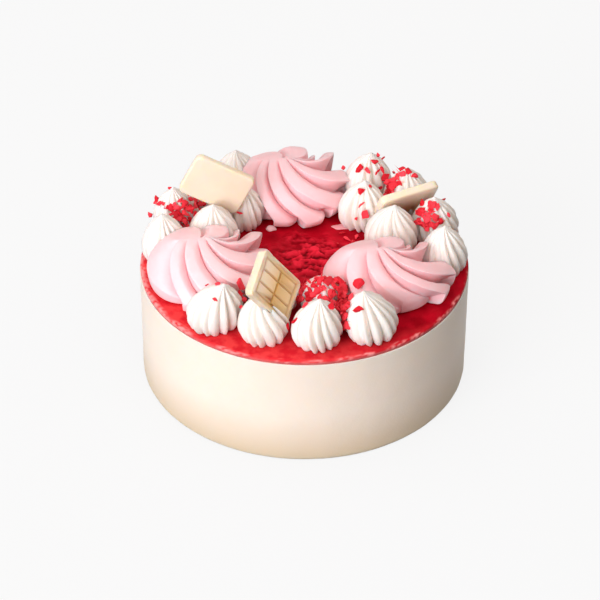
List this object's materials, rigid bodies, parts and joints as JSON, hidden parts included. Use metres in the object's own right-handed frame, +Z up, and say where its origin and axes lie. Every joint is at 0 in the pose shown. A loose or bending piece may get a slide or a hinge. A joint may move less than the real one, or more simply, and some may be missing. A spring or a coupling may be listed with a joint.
{
  "type": "yogurt cake",
  "caption": "Round yogurt cake with a thin strawberry jelly on top, three swirled rosettes, groups of piped stars, flakes and small chocolate plaques.",
  "frame": {"origin": "middle of the cake's flat underside", "axes": "+Z up out of the top of the cake, -Y towards the front, where four stars stand in a row before the moulded plaque"},
  "size_m": [0.15, 0.15, 0.0992],
  "materials": {
    "yogurt_cream": "satin",
    "strawberry_jelly": "glossy",
    "pink_cream": "satin",
    "whipped_cream": "satin",
    "white_chocolate": "satin"
  },
  "bodies": {
    "root": {"plaque_front": "white_chocolate", "plaque_left": "white_chocolate", "plaque_right": "white_chocolate", "rosette_back": "pink_cream", "rosette_left": "pink_cream", "rosette_right": "pink_cream", "star_front_1": "whipped_cream", "star_front_2": "whipped_cream", "star_front_3": "whipped_cream", "star_front_4": "whipped_cream", "star_front_inner_1": "whipped_cream", "star_front_inner_2": "whipped_cream", "star_left_1": "whipped_cream", "star_left_2": "whipped_cream", "star_left_3": "whipped_cream", "star_left_4": "whipped_cream", "star_left_inner_1": "whipped_cream", "star_left_inner_2": "whipped_cream", "star_right_1": "whipped_cream", "star_right_2": "whipped_cream", "star_right_3": "whipped_cream", "star_right_4": "whipped_cream", "star_right_inner_1": "whipped_cream", "star_right_inner_2": "whipped_cream", "strawberry_jelly": "strawberry_jelly", "yogurt_body": "yogurt_cream"}
  },
  "joints": []
}
